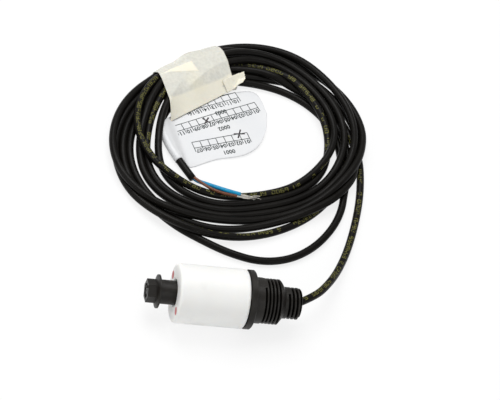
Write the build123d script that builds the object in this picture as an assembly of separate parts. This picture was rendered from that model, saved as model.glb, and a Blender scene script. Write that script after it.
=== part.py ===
"""Magnetic float level sensor with its coiled cable, in millimetres.

The sensor lies on its float and flange. Its axis runs along +X from the retaining nut to the
cable end, the cable lies behind it at +Y, and the surface that it lies on is z = 0.
The origin is under the middle of the sensor itself, without its cable.
"""
from build123d import *
from math import cos, pi, radians, sin, tan
import os

# Retaining nut at the liquid end
NUB_HEIGHT = 1.1
NUB_RADIUS = 0.65
NUB_ACROSS = -0.9
NUB_UP = 3.75
NUT_ACROSS_CORNERS = 12.0
NUT_HEX_LENGTH = 4.4
NUT_TURN = 6.0
NUT_CONE_HEIGHT = 1.0
NUT_RIM_THICKNESS = 0.8
NUT_RIM_RADIUS = 8.5
NUT_COUNTERBORE_RADIUS = 3.7
NUT_COUNTERBORE_DEPTH = 0.9
STUD_RADIUS = 2.3
STUD_CLEARANCE = 0.03
STUD_RECESS = 0.25
STUD_PIT_RADIUS = 0.6
STUD_PIT_DEPTH = 0.7

# Stem, flange and the two threads, moulded in one piece
STEM_RADIUS = 6.1
STEM_FREE_LENGTH = 8.2
FLANGE_THICKNESS = 3.3
FLANGE_EDGE = 0.4
NECK_LENGTH = 4.5
NECK_STEP = 0.2
MAIN_THREAD_RADIUS = 11.45
MAIN_THREAD_PITCH = 1.814
MAIN_THREAD_LENGTH = 9.0
SHOULDER_LENGTH = 2.6
SMALL_THREAD_RADIUS = 8.0
SMALL_THREAD_PITCH = 2.0
SMALL_NECK_LENGTH = 1.3
SMALL_THREAD_LENGTH = 7.3
SMALL_THREAD_CHAMFER = 0.8
THREAD_DEPTH_SHARE = 0.58
THREAD_ROOT_SHARE = 0.14
THREAD_MOUTH_SHARE = 0.62
THREAD_OVERSHOOT = 0.2
STEM_BORE_RADIUS = 3.4
STEM_END_WALL = 3.0
POTTING_RADIUS = 5.6
POTTING_DEPTH = 13.0

# Float, free to slide on the stem
FLOAT_DIAMETER = 30.0
FLOAT_LENGTH = 36.0
FLOAT_BORE_CLEARANCE = 0.5
FLOAT_REST_GAP = 0.3
FLOAT_EDGE = 1.5
FLOAT_BORE_CHAMFER = 0.6
MARKER_RADIUS = 2.2
MARKER_OUTWARD = 0.4
MARKER_THICKNESS = 3.0
MARKER_ANGLE = 92.0
MAGNET_RADIUS = 1.9
MAGNET_LENGTH = 10.0
MAGNET_CLEARANCE = 0.1

# Reed switch and its wires, inside the stem
REED_RADIUS = 1.2
REED_LENGTH = 15.0
REED_WALL = 0.35
REED_SEAL = 1.6
BLADE_WIDTH = 1.0
BLADE_THICKNESS = 0.2
BLADE_GAP = 0.12
BLADE_OVERLAP = 1.6
LEAD_RADIUS = 0.25
LEAD_LENGTH = 5.0
CORE_RADIUS = 0.75
CORE_SPACING = 0.85
WIRE_DROP = 2.2
WIRE_STRAIGHT = 3.0
JOINT_GAP = 0.1
JOINT_LENGTH = 2.0
SLEEVE_RADIUS = 1.05
SLEEVE_LENGTH = 6.0
SLEEVE_CLEARANCE = 0.03
SLEEVE_OFFSET = 0.8

# Cable and its coil
CABLE_DIAMETER = 4.0
JACKET_INSIDE = 5.0
EXIT_ANGLE = 27.0
EXIT_ACROSS = 0.6
COIL_CENTRE = (19.2, 112.0)
COIL_TURN = 30.7
COIL_OUTER = (74.0, 60.5)
COIL_INNER = (45.0, 35.0)
COIL_HEIGHT = 8.4
COIL_ROUNDING = 3.0

# Tape: its own directions are along the turns that it ties, at this angle to +X, and across them.
# Its far wall presses the coil's outside in. The shoulder is beside that wall, the bend and the
# edge of the flap are on either side of the near wall, and its two ends slant from the near to the
# far end of a stretch that reaches a little past the flap's edge and past the coil.
TAPE_THICKNESS = 0.4
TAPE_TURN = 36.5
TAPE_SQUEEZE = 2.7114
TAPE_WIDTH = 23.9
TAPE_NEAR_ENDS = (57.0, 100.3)
TAPE_FAR_ENDS = (72.6, 113.5)
STRETCH_PAST_FLAP = 0.5
STRETCH_PAST_TAPE = 5.6
SHOULDER_WIDTH = 4.9
SHOULDER_HEIGHT = 5.0
FLAP_BEND = 6.5
FLAP_REACH = 5.5
FLAP_THICKNESS = 0.8
FLAP_LIFT = 1.0

# Label and bare ends
LABEL_THICKNESS = 0.35
LABEL_LIFT = 0.05
LABEL_ROLL_CLEARANCE = 0.05
STRAND_RADIUS = 0.45

# Stations along the sensor's axis, counted from the end of the nub
NUT_FACE = NUB_HEIGHT
NUT_RIM_FACE = NUT_FACE + NUT_HEX_LENGTH + NUT_CONE_HEIGHT
NUT_BACK = NUT_RIM_FACE + NUT_RIM_THICKNESS
FLOAT_FACE = NUT_BACK + STEM_FREE_LENGTH
FLANGE_FACE = FLOAT_FACE + FLOAT_LENGTH + FLOAT_REST_GAP
FLANGE_BACK = FLANGE_FACE + FLANGE_THICKNESS
MAIN_THREAD_START = FLANGE_BACK + NECK_LENGTH
MAIN_THREAD_END = MAIN_THREAD_START + MAIN_THREAD_LENGTH
SHOULDER_END = MAIN_THREAD_END + SHOULDER_LENGTH
SMALL_THREAD_START = SHOULDER_END + SMALL_NECK_LENGTH
SENSOR_LENGTH = SMALL_THREAD_START + SMALL_THREAD_LENGTH
REED_CENTRE = FLOAT_FACE + FLOAT_LENGTH / 2
REED_START = REED_CENTRE - REED_LENGTH / 2
REED_END = REED_CENTRE + REED_LENGTH / 2

NECK_RADIUS = MAIN_THREAD_RADIUS + NECK_STEP
FLOAT_RADIUS = FLOAT_DIAMETER / 2
TAPE_TOP = COIL_HEIGHT + 2 * TAPE_THICKNESS
COIL_ACROSS = COIL_CENTRE[1] * cos(radians(TAPE_TURN)) - COIL_CENTRE[0] * sin(radians(TAPE_TURN))
TAPE_OUTSIDE = COIL_ACROSS + COIL_OUTER[1] - TAPE_SQUEEZE
TAPE_INSIDE = TAPE_OUTSIDE - TAPE_WIDTH
TAPE_SHOULDER = TAPE_OUTSIDE - SHOULDER_WIDTH
TAPE_BEND = TAPE_INSIDE + FLAP_BEND
FLAP_EDGE = TAPE_INSIDE - FLAP_REACH
FLAP_SLOPE = (TAPE_TOP - FLAP_LIFT - FLAP_THICKNESS) / (TAPE_BEND - FLAP_EDGE)
FLOAT_BORE_RADIUS = STEM_RADIUS + FLOAT_BORE_CLEARANCE
MARKER_OFFSET = (FLOAT_RADIUS + FLOAT_BORE_RADIUS) / 2 + MARKER_OUTWARD
POCKET_DEPTH = MARKER_THICKNESS + MAGNET_LENGTH + MAGNET_CLEARANCE
X_START = -SENSOR_LENGTH / 2
AXIS_HEIGHT = FLOAT_RADIUS
SENSOR_AXIS = Axis((0, 0, AXIS_HEIGHT), (1, 0, 0))


def at(station, across=0.0, up=0.0):
    """Point at a station of the sensor, across towards +Y and up from its axis."""
    return (X_START + station, across, AXIS_HEIGHT + up)


def turned(outline):
    """Solid turned about the sensor's axis from (station, radius) points."""
    points = [at(station, 0.0, radius) for station, radius in outline]
    return revolve(make_face(Polyline(*points, close=True)), SENSOR_AXIS)


def rod(radius, start, end, across=0.0, up=0.0):
    """Cylinder along X between two stations."""
    plane = Plane(origin=at(start, across, up), z_dir=(1, 0, 0))
    return extrude(plane * Circle(radius), amount=end - start)


def corner_radii(points):
    """Largest even arc at each corner of a route, from its two runs and its turn."""
    radii = []
    for before, corner, after in zip(points, points[1:], points[2:]):
        run_in = Vector(corner) - Vector(before)
        run_out = Vector(after) - Vector(corner)
        half_turn = radians(run_in.get_angle(run_out)) / 2
        radii.append(0.45 * min(run_in.length, run_out.length) / tan(half_turn))
    return radii


def route(points):
    """Straight runs joined by tangent arcs."""
    return FilletPolyline(*points, radius=corner_radii(points))


def tube(path, radius):
    """Round bar along a path."""
    section = Plane(origin=path @ 0, z_dir=path % 0) * Circle(radius)
    return sweep(section, path=path)


def cord(name, points, radius):
    """Tube of a cord, with its bends and its volume printed."""
    path = route(points)
    body = tube(path, radius)
    ratio = body.volume / (pi * radius**2 * path.length)
    bends = ", ".join(f"{value:.0f}" for value in corner_radii(points))
    print(f"{name}: {path.length:.1f} mm long, bend radii {bends} mm, volume ratio {ratio:.4f}")
    return path, body


def thread_groove(crest_radius, pitch, start, half_turns):
    """Helical groove of thread form, swept half a turn at a time, cut from the crests' cylinder."""
    depth = pitch * THREAD_DEPTH_SHARE
    floor_radius = crest_radius - depth
    mouth = pitch * (THREAD_MOUTH_SHARE + (THREAD_MOUTH_SHARE - THREAD_ROOT_SHARE) * THREAD_OVERSHOOT / depth)
    root = pitch * THREAD_ROOT_SHARE
    profile = Plane.XZ * Polyline(
        (floor_radius, -root / 2),
        (crest_radius + THREAD_OVERSHOOT, -mouth / 2),
        (crest_radius + THREAD_OVERSHOOT, mouth / 2),
        (floor_radius, root / 2),
        close=True,
    )
    half_turn = Helix(pitch=pitch, height=pitch / 2, radius=floor_radius)
    steps = [Pos(0, 0, pitch / 2 * step) * Rot(0, 0, 180 * step) * half_turn for step in range(half_turns)]
    groove = sweep(make_face(profile), path=Wire([step.edge() for step in steps]), is_frenet=True)
    return Plane(origin=at(start), z_dir=(1, 0, 0)) * groove


def nut():
    """Hexagonal nut with a conical washer face, a counterbore and its moulding nub."""
    face = Plane(origin=at(NUT_FACE), x_dir=(0, 0, 1), z_dir=(1, 0, 0))
    hexagon = RegularPolygon(radius=NUT_ACROSS_CORNERS / 2, side_count=6, rotation=NUT_TURN)
    body = extrude(face * hexagon, amount=NUT_BACK - NUT_FACE)
    hex_inner = NUT_ACROSS_CORNERS / 2 * cos(radians(30))
    washer = turned(
        [
            (NUT_RIM_FACE - NUT_CONE_HEIGHT, 0),
            (NUT_RIM_FACE - NUT_CONE_HEIGHT, hex_inner),
            (NUT_RIM_FACE, NUT_RIM_RADIUS),
            (NUT_BACK, NUT_RIM_RADIUS),
            (NUT_BACK, 0),
        ]
    )
    body += washer
    body -= rod(NUT_COUNTERBORE_RADIUS, NUT_FACE, NUT_FACE + NUT_COUNTERBORE_DEPTH)
    body -= rod(STUD_RADIUS + STUD_CLEARANCE, NUT_FACE, NUT_BACK)
    body += rod(NUB_RADIUS, 0, NUT_FACE + NUT_COUNTERBORE_DEPTH, NUB_ACROSS, NUB_UP + NUB_RADIUS)
    return body


def probe_body():
    """Stem, flange and both threads: one black moulding, bored from its cable end."""
    stud_start = NUT_FACE + STUD_RECESS
    body = turned(
        [
            (stud_start, 0),
            (stud_start, STUD_RADIUS - 0.3),
            (stud_start + 0.3, STUD_RADIUS),
            (NUT_BACK, STUD_RADIUS),
            (NUT_BACK, STEM_RADIUS),
            (FLANGE_FACE, STEM_RADIUS),
            (FLANGE_FACE, FLOAT_RADIUS - FLANGE_EDGE),
            (FLANGE_FACE + FLANGE_EDGE, FLOAT_RADIUS),
            (FLANGE_BACK - FLANGE_EDGE, FLOAT_RADIUS),
            (FLANGE_BACK, FLOAT_RADIUS - FLANGE_EDGE),
            (FLANGE_BACK, NECK_RADIUS),
            (MAIN_THREAD_START, NECK_RADIUS),
            (MAIN_THREAD_START, MAIN_THREAD_RADIUS),
            (MAIN_THREAD_END, MAIN_THREAD_RADIUS),
            (SHOULDER_END, SMALL_THREAD_RADIUS),
            (SENSOR_LENGTH - SMALL_THREAD_CHAMFER, SMALL_THREAD_RADIUS),
            (SENSOR_LENGTH, SMALL_THREAD_RADIUS - SMALL_THREAD_CHAMFER),
            (SENSOR_LENGTH, 0),
        ]
    )
    main_start = MAIN_THREAD_START + MAIN_THREAD_PITCH / 4
    main_half_turns = round(2 * MAIN_THREAD_LENGTH / MAIN_THREAD_PITCH)
    body -= thread_groove(MAIN_THREAD_RADIUS, MAIN_THREAD_PITCH, main_start, main_half_turns)
    small_start = SMALL_THREAD_START + SMALL_THREAD_PITCH / 4
    small_half_turns = round(2 * SMALL_THREAD_LENGTH / SMALL_THREAD_PITCH) + 1
    body -= thread_groove(SMALL_THREAD_RADIUS, SMALL_THREAD_PITCH, small_start, small_half_turns)
    body -= rod(STUD_PIT_RADIUS, stud_start, stud_start + STUD_PIT_DEPTH)
    body -= rod(STEM_BORE_RADIUS, NUT_BACK + STEM_END_WALL, SENSOR_LENGTH)
    body -= rod(POTTING_RADIUS, SENSOR_LENGTH - POTTING_DEPTH, SENSOR_LENGTH)
    return body


def float_envelope():
    """Outside of the float: a drum with rounded edges and a chamfered bore."""
    drum = rod(FLOAT_RADIUS, FLOAT_FACE, FLOAT_FACE + FLOAT_LENGTH)
    drum = fillet(drum.edges().filter_by(GeomType.CIRCLE), FLOAT_EDGE)
    drum -= rod(FLOAT_BORE_RADIUS, FLOAT_FACE, FLOAT_FACE + FLOAT_LENGTH)
    rims = [edge for edge in drum.edges().filter_by(GeomType.CIRCLE) if edge.radius < FLOAT_BORE_RADIUS + 0.01]
    return chamfer(rims, FLOAT_BORE_CHAMFER)


def marker_place(index):
    """Across and up of one marker's centre: the two are opposite each other."""
    angle = radians(MARKER_ANGLE + 180.0 * index)
    return MARKER_OFFSET * sin(angle), MARKER_OFFSET * cos(angle)


def marker_pocket(index, radius, depth):
    """Blind hole of a marker and its magnet, from outside the float's liquid end."""
    across, up = marker_place(index)
    return rod(radius, FLOAT_FACE - 1, FLOAT_FACE + depth, across, up)


def float_body(envelope):
    """White float with its bore and the two pockets."""
    body = envelope
    for index in (0, 1):
        body -= marker_pocket(index, MARKER_RADIUS, POCKET_DEPTH)
    return body


def marker(envelope, index):
    """Red plug that closes a magnet's pocket, flush with the float's end."""
    return marker_pocket(index, MARKER_RADIUS, MARKER_THICKNESS) & envelope


def magnet(index):
    """Rod magnet behind a marker."""
    across, up = marker_place(index)
    start = FLOAT_FACE + MARKER_THICKNESS
    return rod(MAGNET_RADIUS, start, start + MAGNET_LENGTH, across, up)


def reed_capsule():
    """Glass tube sealed round both leads."""
    capsule = rod(REED_RADIUS, REED_START, REED_END)
    capsule = fillet(capsule.edges().filter_by(GeomType.CIRCLE), REED_RADIUS * 0.6)
    capsule -= rod(REED_RADIUS - REED_WALL, REED_START + REED_SEAL, REED_END - REED_SEAL)
    return capsule - rod(LEAD_RADIUS, REED_START, REED_END)


def reed_blade(side):
    """Round lead that is flattened to a blade inside the glass. side is -1 or 1."""
    outer_end = REED_CENTRE + side * (REED_LENGTH / 2 + LEAD_LENGTH)
    blade_root = REED_CENTRE + side * (REED_LENGTH / 2 - REED_SEAL)
    blade_tip = REED_CENTRE - side * BLADE_OVERLAP / 2
    lead = rod(LEAD_RADIUS, min(outer_end, blade_root), max(outer_end, blade_root))
    offset = side * (BLADE_GAP + BLADE_THICKNESS) / 2
    middle = (blade_root + blade_tip) / 2
    blade = Pos(*at(middle, 0, offset)) * Box(abs(blade_root - blade_tip), BLADE_WIDTH, BLADE_THICKNESS)
    return lead + blade


def sleeve(start):
    """Shrink sleeve over the joint of a lead and a wire."""
    outside = rod(SLEEVE_RADIUS, start, start + SLEEVE_LENGTH)
    return outside - rod(CORE_RADIUS + SLEEVE_CLEARANCE, start, start + SLEEVE_LENGTH)


# The cable leaves the resin at a slant, towards the coil
EXIT_DIRECTION = Vector(cos(radians(EXIT_ANGLE)), sin(radians(EXIT_ANGLE)), 0)
EXIT = Vector(*at(SENSOR_LENGTH, EXIT_ACROSS))
JACKET_END = EXIT - EXIT_DIRECTION * JACKET_INSIDE
CABLE_RADIUS = CABLE_DIAMETER / 2
FLOOR_LINE = CABLE_RADIUS
TAIL_HEIGHT = CABLE_RADIUS + LABEL_ROLL_CLEARANCE + LABEL_THICKNESS + LABEL_LIFT

LEAD_ROUTE = [
    tuple(JACKET_END),
    (48.7, 5.2, 15.0),
    (58.7, 17.5, 11.0),
    (67.2, 32.0, 5.2),
    (74.7, 49.0, 2.4),
    (80.9, 69.0, FLOOR_LINE),
    (84.7, 87.0, FLOOR_LINE),
    (86.3, 108.0, FLOOR_LINE),
]
LOOP_ROUTE = [
    (75.2, 83.0, FLOOR_LINE),
    (72.7, 71.5, FLOOR_LINE),
    (66.2, 58.5, FLOOR_LINE),
    (55.2, 45.5, FLOOR_LINE),
    (41.2, 36.5, FLOOR_LINE),
    (25.2, 33.5, FLOOR_LINE),
    (8.7, 37.5, FLOOR_LINE),
    (-5.3, 44.2, FLOOR_LINE),
    (-17.8, 51.2, FLOOR_LINE),
    (-28.3, 60.5, FLOOR_LINE),
]
TAIL_ROUTE = [
    (-23.3, 118.0, TAIL_HEIGHT),
    (-20.3, 107.5, TAIL_HEIGHT),
    (-15.5, 96.2, TAIL_HEIGHT),
    (-6.9, 83.0, FLOOR_LINE),
]
BROWN_ROUTE = [
    (-7.4, 82.1, FLOOR_LINE),
    (-2.5, 78.7, 1.3),
    (4.7, 77.2, 1.0),
    (11.7, 76.9, 1.0),
]
BLUE_ROUTE = [
    (-5.9, 83.1, FLOOR_LINE),
    (0.3, 80.4, 1.4),
    (8.2, 79.5, 1.0),
    (15.7, 79.0, 1.0),
]
BROWN_STRAND_ROUTE = [(11.7, 76.9, 1.0), (16.2, 76.7, 0.8), (20.2, 77.2, 0.5)]
BLUE_STRAND_ROUTE = [(15.7, 79.0, 1.0), (20.2, 78.6, 0.7), (24.7, 78.9, 0.5)]

LABEL_OUTLINE = [(-19.7, 106.4), (-16.8, 122.5), (-8.8, 131.5), (1.7, 138.0), (12.7, 143.5), (25.7, 148.5),
                 (32.7, 146.5), (36.5, 131.4), (30.6, 111.6), (14.6, 101.5), (3.5, 98.1), (-6.6, 91.5),
                 (-15.3, 96.6)]
LABEL_ROLL = (0.22, 0.60)


def inner_wire(side, joint_station):
    """Route of a core from the jacket's end through the resin. side is 1 for brown, -1 for blue."""
    start = JACKET_END + Vector(0, 0, side * CORE_SPACING)
    leaving = start - EXIT_DIRECTION * WIRE_STRAIGHT
    in_bore = SENSOR_LENGTH - POTTING_DEPTH - WIRE_STRAIGHT
    rise = 0 if side > 0 else -WIRE_DROP
    return [
        tuple(start - EXIT_DIRECTION * SLEEVE_CLEARANCE),
        tuple(leaving),
        at(in_bore, 0, rise),
        at(joint_station, 0, rise),
    ]


def brown_inner_wire():
    """Brown core, straight to the rear lead of the reed switch."""
    joint = REED_END + LEAD_LENGTH + JOINT_GAP
    return tube(route(inner_wire(1, joint)), CORE_RADIUS)


def blue_inner_wire():
    """Blue core, past the reed switch and turned back to meet its front lead."""
    turn_station = REED_START - LEAD_LENGTH - JOINT_LENGTH
    turn = ThreePointArc(
        at(turn_station, 0, -WIRE_DROP),
        at(turn_station - WIRE_DROP / 2, 0, -WIRE_DROP / 2),
        at(turn_station, 0, 0),
    )
    back = Line(at(turn_station, 0, 0), at(REED_START - LEAD_LENGTH - JOINT_GAP, 0, 0))
    pieces = route(inner_wire(-1, turn_station)).edges() + turn.edges() + back.edges()
    return tube(Wire(pieces), CORE_RADIUS)


def tape_stretch():
    """The stretch of the turns that the tape covers, in the tape's own directions."""
    near = FLAP_EDGE - STRETCH_PAST_FLAP
    far = TAPE_OUTSIDE + STRETCH_PAST_TAPE
    corners = [(TAPE_NEAR_ENDS[0], near), (TAPE_FAR_ENDS[0], far), (TAPE_FAR_ENDS[1], far), (TAPE_NEAR_ENDS[1], near)]
    return extrude(make_face(Polyline(*corners, close=True)), amount=TAPE_TOP)


def tape_bar(section):
    """Bar along the tied turns from a section of (across, up) points, cut off at the tape's two ends."""
    points = [(0, across, up) for across, up in section]
    bar = extrude(make_face(Polyline(*points, close=True)), amount=2 * COIL_OUTER[0], dir=(1, 0, 0))
    return Rot(0, 0, TAPE_TURN) * (bar & tape_stretch())


def tape_inside():
    """Room inside the tape for the turns, cut off along the flap's slope."""
    corner = TAPE_TOP - TAPE_THICKNESS - FLAP_SLOPE * (TAPE_BEND - TAPE_INSIDE - TAPE_THICKNESS)
    return tape_bar(
        [
            (TAPE_OUTSIDE - TAPE_THICKNESS, TAPE_THICKNESS),
            (TAPE_OUTSIDE - TAPE_THICKNESS, SHOULDER_HEIGHT),
            (TAPE_SHOULDER, TAPE_TOP - TAPE_THICKNESS),
            (TAPE_BEND, TAPE_TOP - TAPE_THICKNESS),
            (TAPE_INSIDE + TAPE_THICKNESS, corner),
            (TAPE_INSIDE + TAPE_THICKNESS, TAPE_THICKNESS),
        ]
    )


def tape_wrap():
    """Paper tape wrapped round the turns where they are tied, with its two ends stuck together as a flap."""
    outside = tape_bar(
        [
            (TAPE_OUTSIDE, 0),
            (TAPE_OUTSIDE, SHOULDER_HEIGHT),
            (TAPE_SHOULDER, TAPE_TOP),
            (TAPE_BEND, TAPE_TOP),
            (FLAP_EDGE, FLAP_LIFT + FLAP_THICKNESS),
            (FLAP_EDGE, FLAP_LIFT),
            (TAPE_INSIDE, FLAP_LIFT + FLAP_SLOPE * (TAPE_INSIDE - FLAP_EDGE)),
            (TAPE_INSIDE, 0),
        ]
    )
    return outside - tape_inside()


def tied_coil():
    """Outer shape of all the turns: an oval ring with rounded edges, pressed together inside the tape."""
    ring = extrude(Ellipse(*COIL_OUTER) - Ellipse(*COIL_INNER), amount=COIL_HEIGHT)
    ring = fillet(ring.edges().filter_by(GeomType.ELLIPSE), COIL_ROUNDING)
    ring = Pos(COIL_CENTRE[0], COIL_CENTRE[1], TAPE_THICKNESS) * Rot(0, 0, COIL_TURN) * ring
    return ring - (Rot(0, 0, TAPE_TURN) * tape_stretch() - tape_inside())


def flag_label(tail_path):
    """Paper flag: rolled round the tail of the cable, flat inside the coil."""
    sheet_face = make_face(Polyline(*LABEL_OUTLINE, close=True))
    sheet = Pos(0, 0, LABEL_LIFT) * extrude(sheet_face, amount=LABEL_THICKNESS)
    roll_path = tail_path.trim(*LABEL_ROLL)
    inner_radius = CABLE_RADIUS + LABEL_ROLL_CLEARANCE
    roll = tube(roll_path, inner_radius + LABEL_THICKNESS) - tube(tail_path, inner_radius)
    return sheet - tube(tail_path, inner_radius) + roll


def build_parts():
    envelope = float_envelope()
    lead_path, lead = cord("cable_lead", LEAD_ROUTE, CABLE_RADIUS)
    loop_path, loop = cord("cable_loop", LOOP_ROUTE, CABLE_RADIUS)
    tail_path, tail = cord("cable_tail", TAIL_ROUTE, CABLE_RADIUS)
    brown_wire = brown_inner_wire()
    blue_wire = blue_inner_wire()
    resin = rod(POTTING_RADIUS, SENSOR_LENGTH - POTTING_DEPTH, SENSOR_LENGTH)
    resin = resin - lead - brown_wire - blue_wire
    parts = {
        "probe_body": probe_body(),
        "retaining_nut": nut(),
        "float_body": float_body(envelope),
        "potting_resin": resin,
        "reed_capsule": reed_capsule(),
        "reed_blade_front": reed_blade(-1),
        "reed_blade_rear": reed_blade(1),
        "brown_inner_wire": brown_wire,
        "blue_inner_wire": blue_wire,
        "front_joint_sleeve": sleeve(REED_START - SLEEVE_OFFSET - SLEEVE_LENGTH),
        "rear_joint_sleeve": sleeve(REED_END + SLEEVE_OFFSET),
        "cable_lead": lead,
        "cable_coil": tied_coil(),
        "cable_loop": loop,
        "cable_tail": tail,
        "brown_core": cord("brown_core", BROWN_ROUTE, CORE_RADIUS)[1],
        "blue_core": cord("blue_core", BLUE_ROUTE, CORE_RADIUS)[1],
        "brown_strands": cord("brown_strands", BROWN_STRAND_ROUTE, STRAND_RADIUS)[1],
        "blue_strands": cord("blue_strands", BLUE_STRAND_ROUTE, STRAND_RADIUS)[1],
        "tape_wrap": tape_wrap(),
        "flag_label": flag_label(tail_path),
    }
    for index, place in enumerate(("upper", "lower")):
        parts[f"{place}_marker"] = marker(envelope, index)
        parts[f"{place}_magnet"] = magnet(index)
    return parts


os.makedirs("parts", exist_ok=True)
for node, shape in build_parts().items():
    export_step(shape, f"parts/{node}.step")
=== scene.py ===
"""Looks of the float level sensor with its coiled cable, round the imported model, in metres."""
import bpy
import numpy as np
from mathutils import Matrix, Vector


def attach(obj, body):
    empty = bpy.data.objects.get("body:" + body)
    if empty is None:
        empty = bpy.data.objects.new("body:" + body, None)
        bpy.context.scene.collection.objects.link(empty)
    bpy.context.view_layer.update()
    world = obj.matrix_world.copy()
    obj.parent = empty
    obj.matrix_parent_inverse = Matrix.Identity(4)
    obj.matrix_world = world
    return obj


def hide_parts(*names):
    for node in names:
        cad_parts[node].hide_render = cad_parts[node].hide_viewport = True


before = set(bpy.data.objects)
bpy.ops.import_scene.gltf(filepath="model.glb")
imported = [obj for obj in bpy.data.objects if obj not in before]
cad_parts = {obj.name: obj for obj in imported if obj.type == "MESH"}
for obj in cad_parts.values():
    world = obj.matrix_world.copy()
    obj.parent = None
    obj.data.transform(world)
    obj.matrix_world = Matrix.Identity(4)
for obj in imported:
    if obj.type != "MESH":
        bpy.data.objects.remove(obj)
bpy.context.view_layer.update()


# Cable
# One round cable with two cores and a black PVC jacket, 4 mm thick. It leaves the resin at a
# slant, is wound into an untidy coil of eight and a half turns, and ends inside the coil.
CABLE_RADIUS = 0.002
LEAD_ROUTE = [
    (0.03544, -0.00167, 0.015), (0.0487, 0.0052, 0.015), (0.0587, 0.0175, 0.011), (0.0672, 0.032, 0.0052),
    (0.0747, 0.049, 0.0024), (0.0809, 0.069, 0.002), (0.0847, 0.087, 0.002), (0.0863, 0.108, 0.002),
]
LOOP_ROUTE = [
    (0.0752, 0.083, 0.002), (0.0727, 0.0715, 0.002), (0.0662, 0.0585, 0.002), (0.0552, 0.0455, 0.002),
    (0.0412, 0.0365, 0.002), (0.0252, 0.0335, 0.002), (0.0087, 0.0375, 0.002), (-0.0053, 0.0442, 0.002),
    (-0.0178, 0.0512, 0.002), (-0.0283, 0.0605, 0.002),
]
TAIL_ROUTE = [
    (-0.0233, 0.118, 0.00245), (-0.0203, 0.1075, 0.00245), (-0.0155, 0.0962, 0.00245),
    (-0.0069, 0.083, 0.002),
]
COIL_CENTRE = (0.0192, 0.112)
COIL_TURN = np.radians(30.7)
COIL_OUTER = (0.074, 0.0605)
# Distance of each turn from the coil's centre, in mm, at these angles in degrees
STATIONS = (8, 42, 74, 105, 128, 150, 187, 214, 252, 282, 333)
TURNS = (
    (64.0, 57.0, 44.7, 44.0, 46.8, 52.5, 63.6, 69.0),
    (59.5, 53.0, 48.2, 48.0, 50.8, 56.5, 66.5, 72.4, 69.9, 61.3, 58.5),
    (55.0, 48.0, 40.7, 40.0, 42.8, 48.5, 60.0, 66.0, 63.9, 55.3, 61.5),
    (67.5, 64.0, 59.5, 55.0, 54.8, 55.0, 69.5, 73.5, 57.3, 50.6, 59.5),
    (70.2, 70.5, 64.0, 56.0, 53.0, 50.5, 52.5, 61.5, 53.6, 47.2, 56.5),
    (65.1, 67.5, 69.2, 58.5, 50.0, 46.5, 48.8, 57.5, 50.0, 44.0, 52.0),
    (59.4, 60.5, 62.1, 54.5, 45.5, 42.0, 42.5, 50.5, 46.3, 40.4, 47.0),
    (50.2, 50.5, 53.7, 49.0, 51.0, 56.0, 55.5, 49.5, 40.3, 36.0, 43.2),
    (54.2, 55.5, 57.9, 46.5, 39.0, 40.5),
)
# Degrees where the lead becomes a turn, the loop leaves and comes back, and the tail starts
LEAD_END, LOOP_START, LOOP_END, TAIL_START = 4, 220, 338, 158
SECTIONS = 40
FULL_TURN = 2 * np.pi
# The tape's layer under the turns, and the height that it leaves them, at angles in degrees
TAPE_SPAN = np.radians((88, 172))
TAPE_LAYER = 0.0004
CEILING_AT = (80, 98, 160, 180)
CEILING = (0.02, 0.0068, 0.0068, 0.02)


def oval_radius(angle):
    """Radius of the coil's outer oval: a b / hypot(b cos t, a sin t), with t from its long axis."""
    long_half, short_half = COIL_OUTER
    t = angle - COIL_TURN
    return long_half * short_half / np.hypot(short_half * np.cos(t), long_half * np.sin(t))


def polar(points):
    """Angle and distance of points about the coil's centre."""
    x, y = (np.asarray(points)[:, :2] - COIL_CENTRE).T
    return np.arctan2(y, x), np.hypot(x, y)


def smoothed(values, passes):
    """Values averaged with their two neighbours, quarter, half, quarter, a number of times."""
    for _ in range(passes):
        padded = np.concatenate([values[:1], values, values[-1:]])
        values = padded[:-2] / 4 + padded[1:-1] / 2 + padded[2:] / 4
    return values


# Angle and radius of the whole winding, from the lead's arrival to the tail
lead_angle, lead_radius = polar(LEAD_ROUTE[-3:])
loop_angle, loop_radius = polar(LOOP_ROUTE[::-1])
tail_angle, tail_radius = polar(TAIL_ROUTE)
loop_angle = loop_angle % FULL_TURN
tail_angle = tail_angle % FULL_TURN + FULL_TURN * (len(TURNS) - 1)
knot_angle = [lead_angle]
knot_radius = [lead_radius]
for turn, radii in enumerate(TURNS):
    knot_angle.append(np.radians(STATIONS[:len(radii)]) + FULL_TURN * turn)
    knot_radius.append(np.array(radii) / 1000)
    if turn == 0:
        knot_angle.append(loop_angle)
        knot_radius.append(loop_radius)
knot_angle = np.concatenate(knot_angle + [tail_angle])
knot_radius = np.concatenate(knot_radius + [tail_radius])

# One row per turn and one column per radial section, with a row for the lead's arrival
rows = len(TURNS) + 1
winding_angle = (np.arange(rows * SECTIONS) - SECTIONS) * FULL_TURN / SECTIONS
share = np.interp(winding_angle, knot_angle, knot_radius / oval_radius(knot_angle))
wanted = smoothed(share, 3) * oval_radius(winding_angle)
on_loop = (winding_angle > loop_angle[0]) & (winding_angle < loop_angle[-1])
before_coil = winding_angle < np.radians(LEAD_END)
on_tail = winding_angle > FULL_TURN * (len(TURNS) - 1) + np.radians(TAIL_START)
absent = (winding_angle < knot_angle[0]) | (winding_angle > knot_angle[-1])
held = before_coil | on_loop | on_tail
section_angle = winding_angle[:SECTIONS] % FULL_TURN
in_tape = (section_angle > TAPE_SPAN[0]) & (section_angle < TAPE_SPAN[1])
ground = CABLE_RADIUS + np.where(in_tape, TAPE_LAYER, 0)
ceiling = np.interp(np.degrees(section_angle), CEILING_AT, CEILING)


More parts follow.
